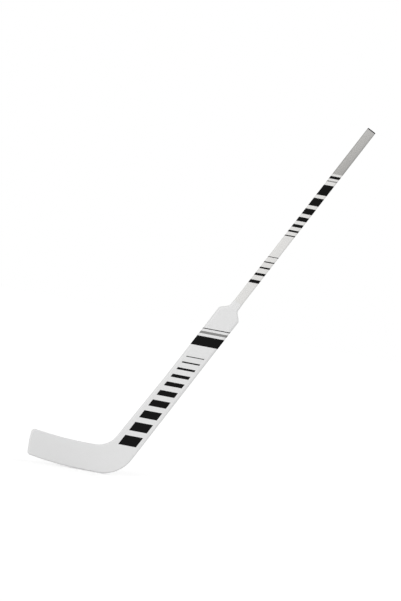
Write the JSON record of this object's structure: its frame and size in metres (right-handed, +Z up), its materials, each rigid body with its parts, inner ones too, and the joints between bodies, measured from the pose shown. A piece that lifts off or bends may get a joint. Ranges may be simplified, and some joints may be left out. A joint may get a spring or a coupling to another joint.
{
  "type": "hockey goalie stick",
  "caption": "White ice hockey goalie stick: curved blade, wide foam-cored paddle with sloped shoulders, and a narrow hollow shaft with a silver-grey butt and a pull-out end plug.",
  "frame": {"origin": "middle of the flat land of the blade's sole, where it meets the ice", "axes": "+Z up from the ice, toe to -X and shaft rising to +X at 63 degrees, front face to -Y"},
  "size_m": [0.9105, 0.0468, 1.2585],
  "materials": {
    "white_lacquer": "lacquered laminate",
    "shaft_lacquer": "lacquered laminate",
    "black_rubber": "moulded, matte",
    "edge_rail": "lacquered edge",
    "pale_wood": "bare, glued in",
    "foam": "rigid foam",
    "carbon": "bare laminate",
    "black_print": "printed film under lacquer",
    "grey_print": "printed film under lacquer",
    "silver_coat": "silver-grey coat, satin"
  },
  "bodies": {
    "stick": {"shaft_tube": "shaft_lacquer", "shaft_foam_dam": "foam", "paddle_face_front": "white_lacquer", "paddle_face_back": "white_lacquer", "paddle_spine": "pale_wood", "shoulder_block_toe_side": "edge_rail", "shoulder_block_heel_side": "edge_rail", "paddle_rail_toe_side": "edge_rail", "paddle_rail_heel_side": "edge_rail", "paddle_foam_toe_side": "foam", "paddle_foam_heel_side": "foam", "blade_face_front": "white_lacquer", "blade_face_back": "white_lacquer", "heel_block": "pale_wood", "blade_rib": "carbon", "blade_foam_lower": "foam", "blade_foam_upper": "foam", "blade_toe_cap": "edge_rail", "blade_sole_strip": "edge_rail", "blade_top_rail": "edge_rail", "heel_rail": "edge_rail", "throat_rail": "edge_rail"},
    "butt_plug": {"butt_plug": "black_rubber"}
  },
  "joints": [
    {"name": "plug_pull", "type": "slide", "parent": "stick", "child": "butt_plug", "axis": [0.454, 0, 0.891], "range_m": [0, 0.03]}
  ]
}
